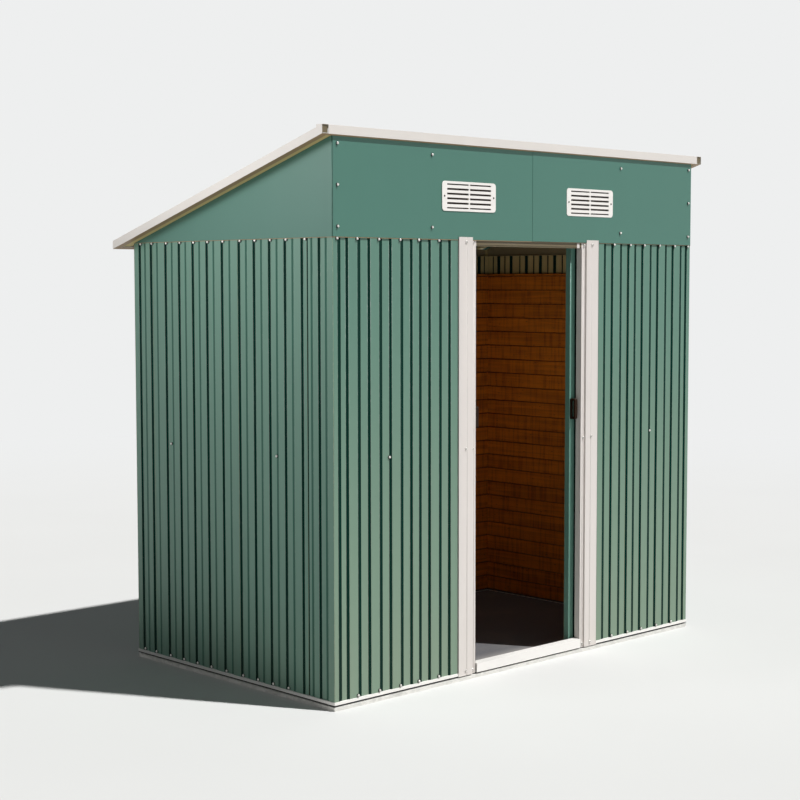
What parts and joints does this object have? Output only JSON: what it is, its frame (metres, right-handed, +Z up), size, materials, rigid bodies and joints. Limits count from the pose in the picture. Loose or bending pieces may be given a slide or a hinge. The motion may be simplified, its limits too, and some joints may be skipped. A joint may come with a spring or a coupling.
{
  "type": "metal storage shed",
  "caption": "Ribbed metal garden shed with a mono-pitch roof, louvred vents above the doorway and a pair of sliding doors.",
  "frame": {"origin": "on the ground below the middle of the doorway's width, halfway between the front and rear roof trims", "axes": "+X along the front, to the right seen from outside; the front faces -Y; +Z up"},
  "size_m": [2.016, 1.184, 1.905],
  "materials": {
    "green_paint": "satin green paint on ribbed sheet",
    "green_plain": "satin green paint on plain sheet",
    "door_paint": "satin green paint",
    "roof_paint": "satin green paint",
    "white_paint": "satin white paint",
    "trim_paint": "satin off-white paint",
    "header_paint": "satin off-white paint",
    "rail_paint": "dull primer",
    "galvanised": "galvanised",
    "white_plastic": "matt",
    "dark_plastic": "satin dark brown",
    "floor_board": "matt mid grey",
    "timber": "stained horizontal boards"
  },
  "bodies": {
    "shed": {"foundation_front": "galvanised", "foundation_rear": "galvanised", "foundation_left": "galvanised", "foundation_right": "galvanised", "floor_panel": "floor_board", "base_rail_front": "white_paint", "base_rail_rear": "white_paint", "base_rail_left": "white_paint", "base_rail_right": "white_paint", "front_panel_left": "green_paint", "side_wall_left": "green_paint", "front_panel_right": "green_paint", "side_wall_right": "green_paint", "rear_wall": "green_paint", "fascia_left": "green_plain", "gable_left": "green_plain", "vent_left": "white_plastic", "door_jamb_left": "white_paint", "fascia_right": "green_plain", "gable_right": "green_plain", "vent_right": "white_plastic", "door_jamb_right": "white_paint", "door_sill": "white_paint", "door_header": "header_paint", "top_rail_left": "rail_paint", "mid_rail_left": "rail_paint", "top_rail_right": "rail_paint", "mid_rail_right": "rail_paint", "top_rail_rear": "rail_paint", "mid_rail_rear": "rail_paint", "wall_lining_left": "timber", "wall_lining_right": "timber", "wall_lining_rear": "timber", "roof_beam_front": "galvanised", "roof_beam_rear": "galvanised", "roof_sheet_left": "roof_paint", "roof_sheet_right": "roof_paint", "roof_trim_front": "trim_paint", "roof_trim_rear": "trim_paint", "roof_trim_left": "trim_paint", "roof_trim_right": "trim_paint"},
    "door_left": {"door_panel_left": "door_paint", "door_hanger_left": "galvanised", "door_handle_left": "dark_plastic"},
    "door_right": {"door_panel_right": "door_paint", "door_hanger_right": "galvanised", "door_handle_right": "dark_plastic"}
  },
  "joints": [
    {"name": "door_left_slide", "type": "slide", "parent": "shed", "child": "door_left", "axis": [1, 0, 0], "range_m": [0, 0.257]},
    {"name": "door_right_slide", "type": "slide", "parent": "shed", "child": "door_right", "axis": [-1, 0, 0], "range_m": [0, 0.257]}
  ]
}
